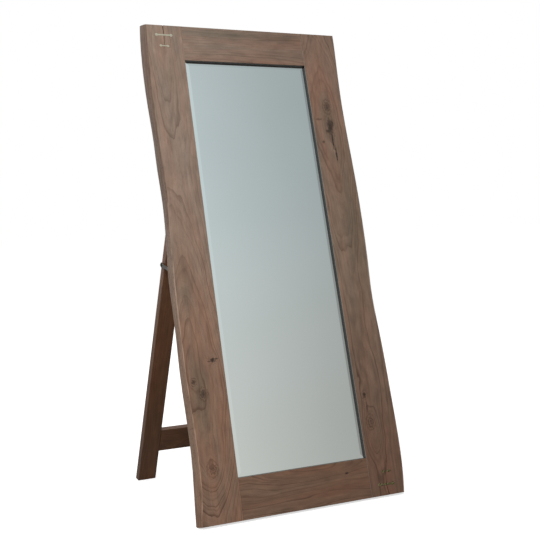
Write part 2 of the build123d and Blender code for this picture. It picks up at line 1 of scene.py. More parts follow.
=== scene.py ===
"""A full-length mirror that leans back on a folding stand, finished and lit as in a pale studio.

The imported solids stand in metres, +Z up, with the mirror facing -Y. The frame's face is a plane that
leans back; places on it are given as (x across, height up the face). Sizes in the finishes are in
millimetres unless they are said to be in metres.
"""

import logging
from collections.abc import Iterable
from dataclasses import dataclass
from enum import Enum
from math import cos, pi, radians, sin
from typing import ClassVar

import bpy
from mathutils import Euler, Matrix, Vector

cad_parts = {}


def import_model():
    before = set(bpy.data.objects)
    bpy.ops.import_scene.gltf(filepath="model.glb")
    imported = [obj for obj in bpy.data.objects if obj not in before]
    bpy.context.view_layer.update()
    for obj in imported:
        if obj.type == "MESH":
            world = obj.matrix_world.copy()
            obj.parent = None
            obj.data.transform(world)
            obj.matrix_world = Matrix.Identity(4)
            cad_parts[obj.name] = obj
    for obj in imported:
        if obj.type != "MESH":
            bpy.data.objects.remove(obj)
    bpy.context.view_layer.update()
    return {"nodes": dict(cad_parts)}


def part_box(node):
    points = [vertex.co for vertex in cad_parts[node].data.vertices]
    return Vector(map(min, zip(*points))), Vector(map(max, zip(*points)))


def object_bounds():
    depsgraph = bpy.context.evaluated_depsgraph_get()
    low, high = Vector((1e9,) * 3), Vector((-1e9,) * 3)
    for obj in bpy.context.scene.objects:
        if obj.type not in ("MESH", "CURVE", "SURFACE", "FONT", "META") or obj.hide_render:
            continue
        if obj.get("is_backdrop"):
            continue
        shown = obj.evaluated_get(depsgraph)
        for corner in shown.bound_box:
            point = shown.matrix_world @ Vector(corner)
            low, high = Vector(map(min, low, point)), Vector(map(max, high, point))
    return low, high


LOG = logging.getLogger("leaning_mirror")
MILLIMETRES = 1000.0

Socket = bpy.types.NodeSocket
Colour = tuple[float, float, float, float]
Input = Socket | float | tuple[float, ...] | Vector | Euler
Pair = tuple[float, float]
Stops = tuple[tuple[float, Colour], ...]


class Side(Enum):
    """Towards which end of an axis something lies or faces."""

    LOW = -1
    HIGH = 1


def shade(red: int, green: int, blue: int) -> Colour:
    """Turn an 8-bit sRGB colour into Blender's linear colour.

    Args:
        red: Red, from 0 to 255.
        green: Green, from 0 to 255.
        blue: Blue, from 0 to 255.

    Returns:
        The linear colour with full opacity.
    """

    def linear(value: int) -> float:
        """Return one channel in linear light."""
        part = value / 255
        return part / 12.92 if part <= 0.04045 else ((part + 0.055) / 1.055) ** 2.4

    return (linear(red), linear(green), linear(blue), 1.0)


def grey(level: float) -> Colour:
    """Return a grey with one linear level and full opacity."""
    return (level, level, level, 1.0)


def even(level: float) -> Stops:
    """Return stops that keep one grey all along a board."""
    return ((0.0, grey(level)), (1.0, grey(level)))


WHITE = grey(1.0)


@dataclass(frozen=True)
class Blotches:
    """A pattern of uneven blotches.

    Attributes:
        size: How large a blotch is along x, y and z.
        strength: How much of its effect is taken, or how far it moves something.
        detail: How many finer layers lie over it.
        warp: How much it is distorted.
        shows: At which values a blotch starts to show and shows in full.
    """

    size: tuple[float, float, float]
    strength: float = 1.0
    detail: float = 2.0
    warp: float = 0.0
    shows: Pair = (0.0, 1.0)


class ShaderGraph:
    """The node tree of a material or a world, with short ways to add the nodes that they share."""

    def __init__(self, owner: bpy.types.Material | bpy.types.World) -> None:
        """Empty the node tree.

        Args:
            owner: What the tree belongs to.
        """
        self.owner = owner
        self.owner.use_nodes = True
        self.tree = owner.node_tree
        self.tree.nodes.clear()

    @classmethod
    def of_material(cls, name: str) -> "ShaderGraph":
        """Make an empty material and return the graph of its nodes."""
        return cls(bpy.data.materials.new(name))

    def feed(self, sockets: Iterable[Socket], values: Iterable[Input]) -> None:
        """Link input sockets to other sockets, or set their values.

        Args:
            sockets: The input sockets.
            values: An output socket for each, or the value that it holds.
        """
        for socket, value in zip(sockets, values):
            if isinstance(value, Socket):
                self.tree.links.new(value, socket)
            else:
                socket.default_value = value

    def add(self, kind: str, **inputs: Input) -> bpy.types.Node:
        """Add a node and feed its inputs.

        Args:
            kind: The node's type name.
            **inputs: Values or sockets by input name, with underscores for blanks.

        Returns:
            The node.
        """
        node = self.tree.nodes.new(kind)
        self.feed([node.inputs[name.replace("_", " ")] for name in inputs], inputs.values())
        return node

    def math(self, operation: str, *values: Input) -> Socket:
        """Add a Math node.

        Args:
            operation: The node's operation.
            *values: Its inputs in order.

        Returns:
            The result.
        """
        node = self.add("ShaderNodeMath")
        node.operation = operation
        self.feed(node.inputs, values)
        return node.outputs[0]

    def vector(self, operation: str, *values: Input, output: str = "Vector") -> Socket:
        """Add a Vector Math node.

        Args:
            operation: The node's operation.
            *values: Its inputs in order.
            output: The output that is taken, Vector or Value.

        Returns:
            The result.
        """
        node = self.add("ShaderNodeVectorMath")
        node.operation = operation
        self.feed(node.inputs, values)
        return node.outputs[output]

    def object_place(self) -> Socket:
        """Return a point's place in the object's frame, in millimetres."""
        return self.vector("MULTIPLY", self.add("ShaderNodeTexCoord").outputs["Object"], (MILLIMETRES,) * 3)

    def noise(self, place: Input, blotches: Blotches) -> Socket:
        """Add a pattern of blotches.

        Args:
            place: The place to read, in millimetres.
            blotches: The pattern.

        Returns:
            A value that lies around 0.5.
        """
        place = self.vector("DIVIDE", place, blotches.size)
        return self.add(
            "ShaderNodeTexNoise", Vector=place, Scale=1.0, Detail=blotches.detail, Distortion=blotches.warp
        ).outputs[0]

    def noise_along(self, value: Input, length: float) -> Socket:
        """Add a noise along one value.

        Args:
            value: The value to read.
            length: How far the value goes from one blotch to the next.

        Returns:
            A value that lies around 0.5.
        """
        node = self.add("ShaderNodeTexNoise")
        node.noise_dimensions = "1D"
        self.feed([node.inputs[name] for name in ("W", "Scale", "Detail")], (value, 1 / length, 1.0))
        return node.outputs[0]

    def between(self, value: Input, low: float, high: float) -> Socket:
        """Rise smoothly from 0 to 1 while a value goes from low to high.

        Args:
            value: The value.
            low: Where the rise starts.
            high: Where it ends.

        Returns:
            The share.
        """
        node = self.add("ShaderNodeMapRange", Value=value, From_Min=low, From_Max=high)
        node.interpolation_type = "SMOOTHSTEP"
        return node.outputs[0]

    def fall(self, value: Input, low: float, high: float) -> Socket:
        """Fall smoothly from 1 to 0 while a value goes from low to high."""
        return self.math("SUBTRACT", 1.0, self.between(value, low, high))

    def blotch(self, place: Input, blotches: Blotches) -> Socket:
        """Return how fully a pattern's blotches show at a place, from 0 to 1."""
        return self.between(self.noise(place, blotches), *blotches.shows)

    def sway(self, noise: Input, reach: float, base: Input) -> Socket:
        """Move a base value to both sides with a noise that lies around 0.5."""
        return self.math("MULTIPLY_ADD", self.math("SUBTRACT", noise, 0.5), reach, base)

    def blend(
        self, share: Input, first: Input, second: Input, strength: float = 1.0, way: str = "MIX"
    ) -> Socket:
        """Mix two colours.

        Args:
            share: How much of the second colour is taken.
            first: The first colour.
            second: The second colour.
            strength: What the share is multiplied with.
            way: The node's blend type.

        Returns:
            The mixed colour.
        """
        node = self.add("ShaderNodeMix")
        node.data_type = "RGBA"
        node.blend_type = way
        if strength != 1.0:
            share = self.math("MULTIPLY", share, strength)
        colours = [socket for socket in node.inputs if socket.type == "RGBA"]
        self.feed((node.inputs[0], *colours), (share, first, second))
        return next(socket for socket in node.outputs if socket.type == "RGBA")

    def spot(self, place: Input, blotches: Blotches, colour: Input, over: Input) -> Socket:
        """Lay a colour over another one where a pattern's blotches show."""
        return self.blend(self.blotch(place, blotches), colour, over, blotches.strength)

    def tint(self, colour: Input, tint: Input) -> Socket:
        """Multiply a colour with a tint."""
        return self.blend(1.0, colour, tint, way="MULTIPLY")

    def fade(self, value: Input, stops: Stops) -> Input:
        """Fade from one colour to the next along a value.

        Args:
            value: The value to read.
            stops: The colours as (value, colour) from the low end.

        Returns:
            The faded colour.
        """
        (previous, colour), *rest = stops
        faded: Input = colour
        for stop, following in rest:
            faded = self.blend(self.between(value, previous, stop), faded, following)
            previous = stop
        return faded

    def ramp(self, share: Input, stops: tuple[Pair, ...]) -> Socket:
        """Map a share through points of a curve with straight stretches.

        Args:
            share: The value, from 0 to 1.
            stops: The curve's points as (position, value).

        Returns:
            The mapped value as a grey colour.
        """
        node = self.add("ShaderNodeValToRGB", Fac=share)
        elements = node.color_ramp.elements
        while len(elements) < len(stops):
            elements.new(1.0)
        for element, (position, value) in zip(elements, stops):
            element.position = position
            element.color = grey(value)
        return node.outputs[0]

    def bump(self, height: Input, relief: float, strength: float = 1.0, **below: Input) -> Socket:
        """Turn a height into a normal.

        Args:
            height: The height, from 0 to 1.
            relief: How high 1 stands.
            strength: How much of the effect is taken.
            **below: The Normal that the height lies on, if there is one.

        Returns:
            The normal.
        """
        distance = relief / MILLIMETRES
        node = self.add("ShaderNodeBump", Strength=strength, Distance=distance, Height=height, **below)
        return node.outputs["Normal"]

    def finish(self, **inputs: Input) -> bpy.types.Material:
        """Close the tree with a Principled BSDF.

        Args:
            **inputs: The shader's inputs by name, with underscores for blanks.

        Returns:
            The material.
        """
        surface = self.add("ShaderNodeBsdfPrincipled", **inputs)
        self.add("ShaderNodeOutputMaterial", Surface=surface.outputs["BSDF"])
        return self.owner


@dataclass(frozen=True)
class BoardPlane:
    """A board's face plane.

    Attributes:
        origin: A point of the face, in metres.
        lean: How far the plane leans back from upright, in degrees.
        turn: How far the grain's direction is turned from up the face, in degrees.
    """

    origin: Vector
    lean: float
    turn: float = 0.0

    def grain_place(self, x: float, height: float) -> Vector:
        """Return a place on the face as (across, along) the grain."""
        return Matrix.Rotation(radians(self.turn), 2) @ Vector((x, height))


class BoardGraph(ShaderGraph):
    """The node tree of a board's material, with a point's place across, along and out of the board.

    The patterns are read at shifted places, so that boards differ, and those of the growth rings are
    shifted further along the grain.
    """

    RING_SHIFT = 3.0

    def __init__(self, name: str, plane: BoardPlane, seed: float) -> None:
        """Add the nodes that give the place.

        Args:
            name: The material's name.
            plane: The board's face plane.
            seed: How far the patterns are shifted.
        """
        super().__init__(bpy.data.materials.new(name))
        self.plane = plane
        rotation = Euler((radians(plane.lean - 90), 0.0, radians(plane.turn)))
        self.place = self.add(
            "ShaderNodeMapping",
            Vector=self.add("ShaderNodeTexCoord").outputs["Object"],
            Scale=(MILLIMETRES,) * 3,
            Rotation=rotation,
            Location=-MILLIMETRES * (rotation.to_matrix() @ plane.origin),
        ).outputs[0]
        self.shifted = self.vector("ADD", self.place, (seed, seed, seed))
        self.ring_place = self.vector("ADD", self.place, (seed, seed * self.RING_SHIFT, seed))
        self.across, self.along, self.out = self.add("ShaderNodeSeparateXYZ", Vector=self.place).outputs


@dataclass(frozen=True)
class Mark:
    """A long oval place on a board's face.

    Attributes:
        x: Its place across the face.
        height: Its place up the face.
        half_width: Its reach across the grain.
        half_length: Its reach along the grain.
        spread: How many times further than that it fades, across and along the grain.
    """

    x: float
    height: float
    half_width: float
    half_length: float
    spread: ClassVar[Pair] = (1.0, 1.0)

    def distance_squared(self, board: BoardGraph, spread: Pair) -> Socket:
        """Measure how far a point is from the mark's middle.

        Args:
            board: The board's node tree.
            spread: How many times further than its own reach the mark is taken.

        Returns:
            The distance as a share of that reach, squared.
        """
        middle = board.plane.grain_place(self.x, self.height)
        offset = board.vector("SUBTRACT", board.place, (*middle, 0.0))
        reach = (self.half_width * spread[0], self.half_length * spread[1], 1.0)
        flat = board.vector("MULTIPLY", board.vector("DIVIDE", offset, reach), (1.0, 1.0, 0.0))
        return board.vector("DOT_PRODUCT", flat, flat, output="Value")

    def bell(self, board: BoardGraph) -> Socket:
        """Return 1 at the mark's middle, falling smoothly to 0 beyond its spread."""
        squared = self.distance_squared(board, self.spread)
        return board.math("EXPONENT", board.math("MULTIPLY", squared, -1.0))


@dataclass(frozen=True)
class Swell(Mark):
    """A place where the growth rings bulge towards the face, as round a knot.

    Attributes:
        rise: How far the rings are lifted at its middle; below zero they are pushed down.
    """

    rise: float

    def lift(self, board: BoardGraph, distance: Input) -> Socket:
        """Return the distance from the pith with the rings lifted by the swell."""
        return board.math("MULTIPLY_ADD", self.bell(board), -self.rise, distance)


@dataclass(frozen=True)
class Knot(Swell):
    """A swell with a knot at its middle.

    Attributes:
        core: How dark the knot's middle is, from 0 to 1.
        circles: How strong the fine rings round it are, from 0 to 1.
        spread: How many times further than the knot its swell reaches, across and along the grain.
        outline: The pattern that makes its outline ragged, as a share of the knot's reach.
        core_edge: Between which shares of its reach the dark middle ends.
        circles_edge: Between which shares of its reach the fine rings end.
        circle_turns: How far the fine rings' wave turns within the knot's reach, in radians.
    """

    core: float
    circles: float
    spread: ClassVar[Pair] = (1.9, 3.2)
    outline: ClassVar[Blotches] = Blotches((4.0, 9.0, 4.0), 1.5, 3.0)
    core_edge: ClassVar[Pair] = (0.4, 1.1)
    circles_edge: ClassVar[Pair] = (1.2, 2.3)
    circle_turns: ClassVar[float] = 9.0

    def marks(self, board: BoardGraph) -> tuple[Socket, Socket]:
        """Draw the knot's dark middle and the fine rings round it.

        Args:
            board: The board's node tree.

        Returns:
            How dark the middle is and how strong the rings are.
        """
        reach = board.math("SQRT", self.distance_squared(board, (1.0, 1.0)))
        ragged = board.sway(board.noise(board.ring_place, self.outline), self.outline.strength, reach)
        dark = board.fall(ragged, *self.core_edge)
        wave = board.math("SINE", board.math("MULTIPLY", ragged, self.circle_turns))
        line = board.math("MULTIPLY", board.between(wave, 0.0, 1.0), board.fall(ragged, *self.circles_edge))
        return board.math("MULTIPLY", dark, self.core), board.math("MULTIPLY", line, self.circles)


@dataclass(frozen=True)
class Stain(Mark):
    """A long patch where the timber is greyer.

    Attributes:
        share: How grey its middle is, from 0 to 1.
        colour: Its colour.
    """

    share: float
    colour: Colour = shade(104, 95, 80)


@dataclass(frozen=True)
class GrowthRings:
    """The growth rings round a pith that lies behind a board's face.

    Attributes:
        pith_x: The pith's place across the face.
        pith_height: Its place up the face.
        pith_depth: How far it lies behind the face.
        spacing: How far apart the rings are.
        waves: The patterns in which the rings wander.
        uneven_over: Over what distance their spacing changes.
        uneven_by: By how many rings it changes.
        profile: How dark a ring is, as (share of its width, darkness) from its early side.
        strength_over: Over how many rings their strength changes.
        strength_shows: Between which values of that change it rises.
        faintest: How dark the faintest ring is.
        contrast: How much darker the strongest ring is.
        fine_spacing: How far apart the fine rings are, as a share of the spacing.
        fine_from: From which height of its wave a fine ring shows.
        fine_darkness: How dark the fine rings are.
    """

    pith_x: float
    pith_height: float
    pith_depth: float
    spacing: float
    waves: tuple[Blotches, ...] = (
        Blotches((95.0, 420.0, 95.0), 46.0, 1.0),
        Blotches((36.0, 130.0, 36.0), 13.0, 1.0),
        Blotches((11.0, 42.0, 11.0), 2.6, 1.0),
    )
    uneven_over: float = 24.0
    uneven_by: float = 3.2
    profile: tuple[Pair, ...] = (
        (0.0, 0.3), (0.15, 0.05), (0.5, 0.12), (0.84, 0.75), (0.95, 1.0), (1.0, 0.3)
    )
    strength_over: float = 1.7
    strength_shows: Pair = (0.36, 0.66)
    faintest: float = 0.12
    contrast: float = 0.72
    fine_spacing: float = 0.31
    fine_from: float = 0.2
    fine_darkness: float = 0.1

    def distance(self, board: BoardGraph) -> Socket:
        """Measure how far a point is from the pith, with the rings' waves.

        Args:
            board: The board's node tree.

        Returns:
            The distance.
        """
        across = board.plane.grain_place(self.pith_x, self.pith_height).x
        offset = board.vector("SUBTRACT", board.place, (across, 0.0, -self.pith_depth))
        flat = board.vector("MULTIPLY", offset, (1.0, 0.0, 1.0))
        distance = board.vector("LENGTH", flat, output="Value")
        for wave in self.waves:
            noise = board.noise(board.ring_place, wave)
            distance = board.math("MULTIPLY_ADD", noise, wave.strength, distance)
        return distance

    def darkness(self, board: BoardGraph, distance: Input) -> Socket:
        """Draw broad uneven rings over fine ones.

        Args:
            board: The board's node tree.
            distance: The distance from the pith.

        Returns:
            How dark the rings make a point, from 0 to 1.
        """
        change = board.noise_along(distance, self.uneven_over)
        uneven = board.math("MULTIPLY_ADD", change, self.spacing * self.uneven_by, distance)
        turns = board.math("DIVIDE", uneven, self.spacing)
        broad = board.ramp(board.math("FRACT", turns), self.profile)
        own = board.noise_along(board.math("FLOOR", turns), self.strength_over)
        share = board.between(own, *self.strength_shows)
        strength = board.math("MULTIPLY_ADD", share, self.contrast, self.faintest)
        wave = board.math("MULTIPLY", uneven, 2 * pi / (self.spacing * self.fine_spacing))
        fine = board.between(board.math("SINE", wave), self.fine_from, 1.0)
        broad = board.math("MULTIPLY", broad, strength)
        return board.math("MULTIPLY_ADD", fine, self.fine_darkness, broad)


@dataclass(frozen=True)
class TimberKind:
    """The colours of one kind of oiled or stained timber, and the patterns of all its boards.

    Attributes:
        early: The pale part of a growth ring.
        late: The dark end of a growth ring.
        warm: The reddish bands of the heartwood.
        grey: The weathered grey bands.
        roughness: How rough the finish is.
        knot: The middle of a knot, and the pits of a live edge.
        bands_over: Over what distance from the pith the reddish bands change.
        bands_show: Between which values of that change they appear.
        band_strength: How strong they are.
        clouds: The pattern of the grey bands.
        clear: The pattern of the places where the growth rings are clear.
        faint: How strong the growth rings are elsewhere, from 0 to 1.
    """

    early: Colour
    late: Colour
    warm: Colour
    grey: Colour
    roughness: float
    knot: Colour = shade(50, 36, 30)
    bands_over: float = 34.0
    bands_show: Pair = (0.36, 0.64)
    band_strength: float = 0.6
    clouds: Blotches = Blotches((48.0, 300.0, 48.0), 0.55, shows=(0.36, 0.66))
    clear: Blotches = Blotches((50.0, 300.0, 50.0), detail=1.0, shows=(0.3, 0.62))
    faint: float = 0.5

    def heartwood(self, board: BoardGraph, distance: Input) -> Socket:
        """Lay the reddish and the grey bands over the pale timber.

        Args:
            board: The board's node tree.
            distance: The distance from the pith.

        Returns:
            The colour.
        """
        band = board.between(board.noise_along(distance, self.bands_over), *self.bands_show)
        colour = board.blend(band, self.early, self.warm, self.band_strength)
        return board.spot(board.shifted, self.clouds, colour, self.grey)

    def clearness(self, board: BoardGraph) -> Socket:
        """Return how strong the growth rings are at a place."""
        clear = board.blotch(board.shifted, self.clear)
        return board.math("MULTIPLY_ADD", clear, 1.0 - self.faint, self.faint)


FRAME_TIMBER = TimberKind(
    early=shade(142, 119, 103),
    late=shade(88, 65, 52),
    warm=shade(142, 107, 88),
    grey=shade(133, 118, 105),
    roughness=0.5,
)
STAND_TIMBER = TimberKind(
    early=shade(96, 70, 51),
    late=shade(52, 36, 25),
    warm=shade(94, 64, 44),
    grey=shade(84, 66, 49),
    roughness=0.56,
)


@dataclass(frozen=True)
class SurfaceGrain:
    """The fibres, streaks and pores of a planed board.

    Attributes:
        fibres: The pattern of the fine fibres.
        streaks: The pattern of narrow lighter and darker streaks.
        mottle: The pattern of broad lighter and darker patches.
        pores: The pattern of the open pores.
        late_depth: How far late wood sinks, against the height of the fibres.
        pore_depth: How far a pore sinks.
        knot_depth: How far a knot's middle sinks.
        relief: The height of the fibres.
        relief_strength: How much of the relief's effect is taken.
        fibre_rough: How much the roughness changes from fibre to fibre.
        late_gloss: How much smoother the late wood is.
    """

    fibres: Blotches = Blotches((0.9, 46.0, 0.9), 0.5, 3.0)
    streaks: Blotches = Blotches((7.0, 120.0, 7.0), 0.5, 3.0, 0.4)
    mottle: Blotches = Blotches((22.0, 60.0, 22.0), 0.7, 4.0, 0.3)
    pores: Blotches = Blotches((0.75, 9.0, 0.75), 0.5, 1.0, shows=(0.66, 0.76))
    late_depth: float = 0.35
    pore_depth: float = 0.6
    knot_depth: float = 1.2
    relief: float = 0.35
    relief_strength: float = 0.8
    fibre_rough: float = 0.16
    late_gloss: float = 0.08

    def light(self, board: BoardGraph) -> Socket:
        """Lighten and darken the timber in streaks, patches and fibres.

        Args:
            board: The board's node tree.

        Returns:
            The grey that the timber's colour is multiplied with.
        """
        level: Input = 1.0
        for pattern in (self.streaks, self.mottle, self.fibres):
            level = board.sway(board.noise(board.shifted, pattern), pattern.strength, level)
        return board.add("ShaderNodeCombineColor", Red=level, Green=level, Blue=level).outputs[0]

    def normal(self, board: BoardGraph, fibre: Input, late: Input, core: Input) -> Socket:
        """Raise the fibres and sink the late wood, the pores and the knots.

        Args:
            board: The board's node tree.
            fibre: The fibres' noise.
            late: How dark the late wood is.
            core: How deep in a knot a point lies.

        Returns:
            The normal.
        """
        pore = board.blotch(board.shifted, self.pores)
        height = fibre
        for sunk, depth in ((late, self.late_depth), (pore, self.pore_depth), (core, self.knot_depth)):
            height = board.math("MULTIPLY_ADD", sunk, -depth, height)
        return board.bump(height, self.relief, self.relief_strength)

    def roughness(self, board: BoardGraph, fibre: Input, late: Input, mean: float) -> Socket:
        """Return the roughness, uneven from fibre to fibre and lower on late wood."""
        return board.math("MULTIPLY_ADD", late, -self.late_gloss, board.sway(fibre, self.fibre_rough, mean))


@dataclass(frozen=True)
class LiveEdge:
    """The skin of a live edge: streaked, pitted and rippled, with a painted highlight on the rounding
    beside the face.

    Attributes:
        side: On which side of the board it lies.
        skin: The skin's colour.
        edge_highlight: The colour of the painted highlight on the rounding between the face and the skin.
        age: What both are multiplied with, as (place along the grain, tint) from the low end.
        streaks: The pattern of the dark streaks.
        patches: The pattern of the grey patches.
        pits: The pattern of the pits.
        breaks: The pattern that breaks the painted highlight up.
        ripples: The pattern of the ripples.
        skin_rise: How far sideways the surface faces where the skin starts and where it is full.
        skin_strength: How much of the skin covers the timber.
        highlight_rise: How far sideways it faces where the painted highlight starts.
        highlight_fall: How far sideways it faces where the painted highlight ends.
        pit_depth: How deep the pits are, against the relief.
        relief: The height of the relief.
    """

    side: Side
    skin: Colour = shade(138, 117, 102)
    edge_highlight: Colour = shade(176, 156, 141)
    age: Stops = ((700.0, grey(1.2)), (1250.0, (0.64, 0.56, 0.51, 1.0)))
    streaks: Blotches = Blotches((5.0, 110.0, 5.0), 0.7, 4.0, 0.5, (0.4, 0.62))
    patches: Blotches = Blotches((30.0, 210.0, 30.0), 0.5, shows=(0.42, 0.6))
    pits: Blotches = Blotches((2.4, 8.0, 2.4), 0.75, shows=(0.56, 0.7))
    breaks: Blotches = Blotches((6.0, 60.0, 6.0), 0.75, 3.0, shows=(0.36, 0.56))
    ripples: Blotches = Blotches((14.0, 70.0, 14.0), 2.0, 3.0, 0.6)
    skin_rise: Pair = (0.2, 0.5)
    skin_strength: float = 0.85
    highlight_rise: Pair = (0.1, 0.3)
    highlight_fall: Pair = (0.4, 0.6)
    pit_depth: float = 0.35
    relief: float = 1.4

    def cover(
        self, board: BoardGraph, kind: TimberKind, colour: Input, normal: Input
    ) -> tuple[Socket, Socket]:
        """Lay the skin and the painted highlight over the timber where its surface faces sideways.

        Args:
            board: The board's node tree.
            kind: The kind of timber.
            colour: The timber's colour.
            normal: The timber's normal.

        Returns:
            The colour with the skin, and the normal with its ripples and pits.
        """
        facing = board.add("ShaderNodeTexCoord").outputs["Normal"]
        outward = board.vector("DOT_PRODUCT", facing, (float(self.side.value), 0.0, 0.0), output="Value")
        share = board.between(outward, *self.skin_rise)
        age = board.fade(board.along, self.age)
        skin = board.spot(board.shifted, self.streaks, self.skin, kind.late)
        skin = board.spot(board.shifted, self.patches, skin, kind.grey)
        skin = board.spot(board.shifted, self.pits, skin, kind.knot)
        colour = board.blend(share, colour, board.tint(skin, age), self.skin_strength)
        # Painted highlight: a broken pale band on the rounding between the face and the skin, standing in
        # for the light that the rounded edge catches.
        highlight_share = board.between(outward, *self.highlight_rise)
        highlight_share = board.math("SUBTRACT", highlight_share, board.between(outward, *self.highlight_fall))
        highlight_share = board.math("MULTIPLY", highlight_share, board.blotch(board.shifted, self.breaks))
        colour = board.blend(highlight_share, colour, board.tint(self.edge_highlight, age), self.breaks.strength)
        relief = board.math("MULTIPLY", board.noise(board.shifted, self.ripples), self.ripples.strength)
        pits = board.blotch(board.shifted, self.pits)
        relief = board.math("MULTIPLY_ADD", pits, -self.pit_depth, relief)
        relief = board.math("MULTIPLY", relief, share)
        return colour, board.bump(relief, self.relief, Normal=normal)


@dataclass(frozen=True)
class Opening:
    """Where a board borders the frame's opening, whose dark paint starts behind the front edge.

    Attributes:
        edge: The border's place across the grain.
        side: On which side of the border the opening lies.
        painted_sheen_share: How much of the painted sheen shows on the unpainted strip in front of the
            paint, from 0 to 1.
        painted_sheen: The pale grey painted on that strip for the sheen of light that it catches at a
            grazing angle.
        paint: The paint's colour.
        paint_gloss: How much smoother the paint is than the timber.
        paint_start: How far behind the face the paint starts.
        soft: How far the paint's front line spreads.
        overlap: How far short of the border the opening's faces are taken to start.
    """

    edge: float
    side: Side
    painted_sheen_share: float = 0.1
    painted_sheen: Colour = shade(158, 158, 152)
    paint: Colour = shade(34, 31, 29)
    paint_gloss: float = 0.2
    paint_start: float = 2.4
    soft: float = 0.3
    overlap: float = 0.4

    def cover(self, board: BoardGraph, colour: Input, rough: Input) -> tuple[Socket, Socket]:
        """Paint a pale sheen on the front strip of the faces inside the opening, and paint them dark behind
        it.

        Args:
            board: The board's node tree.
            colour: The timber's colour.
            rough: The timber's roughness.

        Returns:
            The colour and the roughness with the rim and the paint.
        """
        side = float(self.side.value)
        border = self.edge - self.overlap * side
        past = board.math("MULTIPLY", board.math("SUBTRACT", board.across, border), side)
        inside = board.math("GREATER_THAN", past, 0.0)
        behind = board.between(board.out, self.soft - self.paint_start, -self.soft - self.paint_start)
        painted = board.math("MULTIPLY", inside, behind)
        # Painted sheen: the unpainted front strip of the inner faces is lightened towards pale grey,
        # standing in for the light that it catches at a grazing angle.
        sheen_strip = board.math("SUBTRACT", inside, painted)
        colour = board.blend(sheen_strip, colour, self.painted_sheen, self.painted_sheen_share)
        colour = board.blend(painted, colour, self.paint)
        return colour, board.math("MULTIPLY_ADD", painted, -self.paint_gloss, rough)


@dataclass(frozen=True)
class Timber:
    """The finish of one board.

    Attributes:
        name: The material's name.
        kind: The kind of timber.
        plane: The board's face plane.
        rings: Its growth rings.
        seed: How far the patterns are shifted, so that boards differ.
        tints: What the colour is multiplied with, as (place along the grain, tint) from the low end; on the
            frame's boards this is partly their own tone and partly painted light and shade.
        figure: How strong the growth rings are, as (place along the grain, grey) from the low end.
        swells: The knots and bulges of the board.
        stains: Its greyer patches.
        live_edge: Its live edge, if it has one.
        opening: Where it borders the opening, if it does.
        grain: The fibres, streaks and pores of its surface.
        ior: The index of refraction of its oil.
    """

    name: str
    kind: TimberKind
    plane: BoardPlane
    rings: GrowthRings
    seed: float
    tints: Stops
    figure: Stops = even(0.9)
    swells: tuple[Swell, ...] = ()
    stains: tuple[Stain, ...] = ()
    live_edge: LiveEdge | None = None
    opening: Opening | None = None
    grain: SurfaceGrain = SurfaceGrain()
    ior: float = 1.46

    def late_wood(self, board: BoardGraph, distance: Input, circles: Input) -> Socket:
        """Draw the growth rings, with the fine rings round the knots.

        Args:
            board: The board's node tree.
            distance: The distance from the pith.
            circles: How strong the fine rings round a knot are.

        Returns:
            How dark they make a point, from 0 to 1.
        """
        late = board.math("MAXIMUM", self.rings.darkness(board, distance), circles)
        late = board.math("MULTIPLY", late, self.kind.clearness(board))
        late = board.math("MULTIPLY", late, board.fade(board.along, self.figure))
        return board.math("MAXIMUM", late, circles)

    def build(self) -> bpy.types.Material:
        """Make the board's material.

        Returns:
            The material.
        """
        board = BoardGraph(self.name, self.plane, self.seed)
        distance: Input = self.rings.distance(board)
        core: Input = 0.0
        circles: Input = 0.0
        for swell in self.swells:
            distance = swell.lift(board, distance)
            if isinstance(swell, Knot):
                dark, line = swell.marks(board)
                core = board.math("MAXIMUM", core, dark)
                circles = board.math("MAXIMUM", circles, line)
        late = self.late_wood(board, distance, circles)
        fibre = board.noise(board.shifted, self.grain.fibres)
        colour = self.kind.heartwood(board, distance)
        for stain in self.stains:
            colour = board.blend(stain.bell(board), colour, stain.colour, stain.share)
        colour = board.blend(late, colour, self.kind.late)
        colour = board.tint(colour, self.grain.light(board))
        colour = board.spot(board.shifted, self.grain.pores, colour, self.kind.late)
        colour = board.blend(core, colour, self.kind.knot)
        normal = self.grain.normal(board, fibre, late, core)
        if self.live_edge:
            colour, normal = self.live_edge.cover(board, self.kind, colour, normal)
        # The tints along the board; on the frame's boards they are partly painted light and shade.
        colour = board.tint(colour, board.fade(board.along, self.tints))
        rough = self.grain.roughness(board, fibre, late, self.kind.roughness)
        if self.opening:
            colour, rough = self.opening.cover(board, colour, rough)
        return board.finish(Base_Color=colour, Roughness=rough, IOR=self.ior, Normal=normal)


